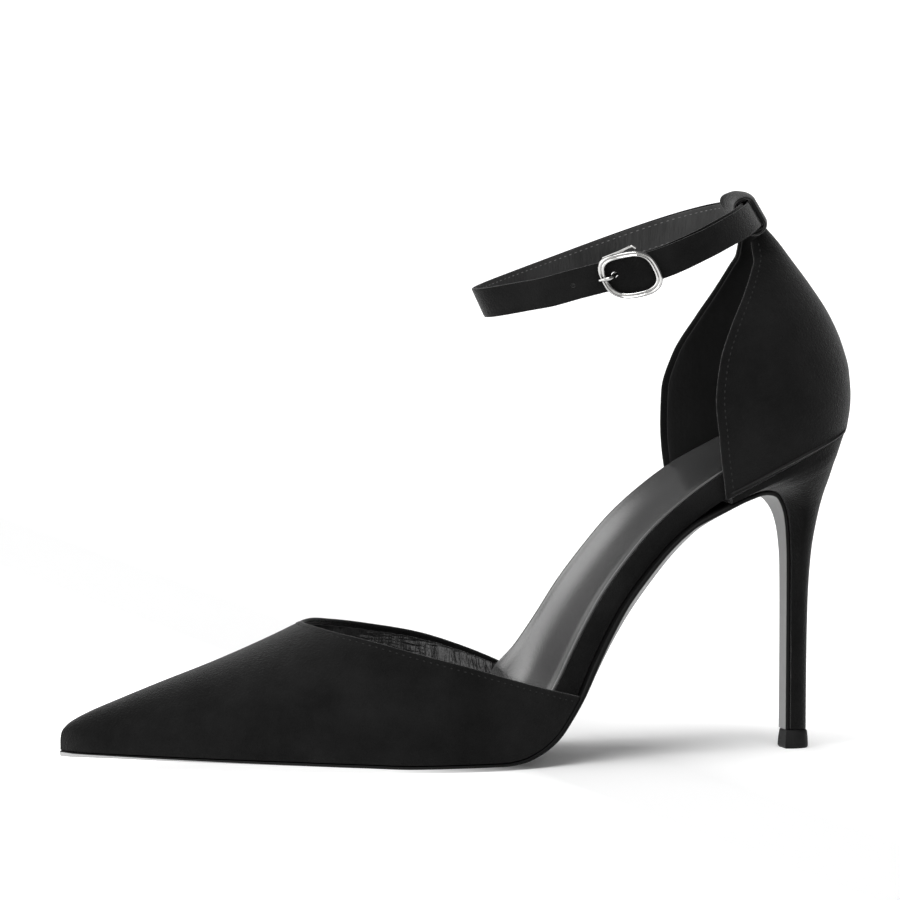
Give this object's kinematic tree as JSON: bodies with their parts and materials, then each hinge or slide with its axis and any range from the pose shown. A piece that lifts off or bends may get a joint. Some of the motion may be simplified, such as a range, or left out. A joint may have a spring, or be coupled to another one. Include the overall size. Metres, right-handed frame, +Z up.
{
  "type": "ankle-strap stiletto pump",
  "caption": "Pointed open-sided pump on a slim high heel, with a cupped back whose folded top carries a buckled ankle strap.",
  "frame": {"origin": "middle of the shoe's bounding box, on the floor it stands on", "axes": "+X from the toe to the heel, -Y towards the outer side of the foot, +Z up"},
  "size_m": [0.2563, 0.076, 0.1769],
  "materials": {
    "suede": "matt black suede",
    "sock_leather": "satin dark grey grained leather",
    "sole_leather": "smooth grey sole",
    "tip_plastic": "matt black top piece",
    "nickel": "polished metal"
  },
  "bodies": {
    "root": {"outsole": "sole_leather", "footbed": "suede", "insole_sock": "sock_leather", "vamp": "suede", "quarter": "suede", "strap_loop": "suede", "heel": "suede", "heel_tip": "tip_plastic", "ankle_strap": "suede", "buckle_frame": "nickel", "buckle_bar": "nickel", "buckle_prong": "nickel"}
  },
  "joints": []
}
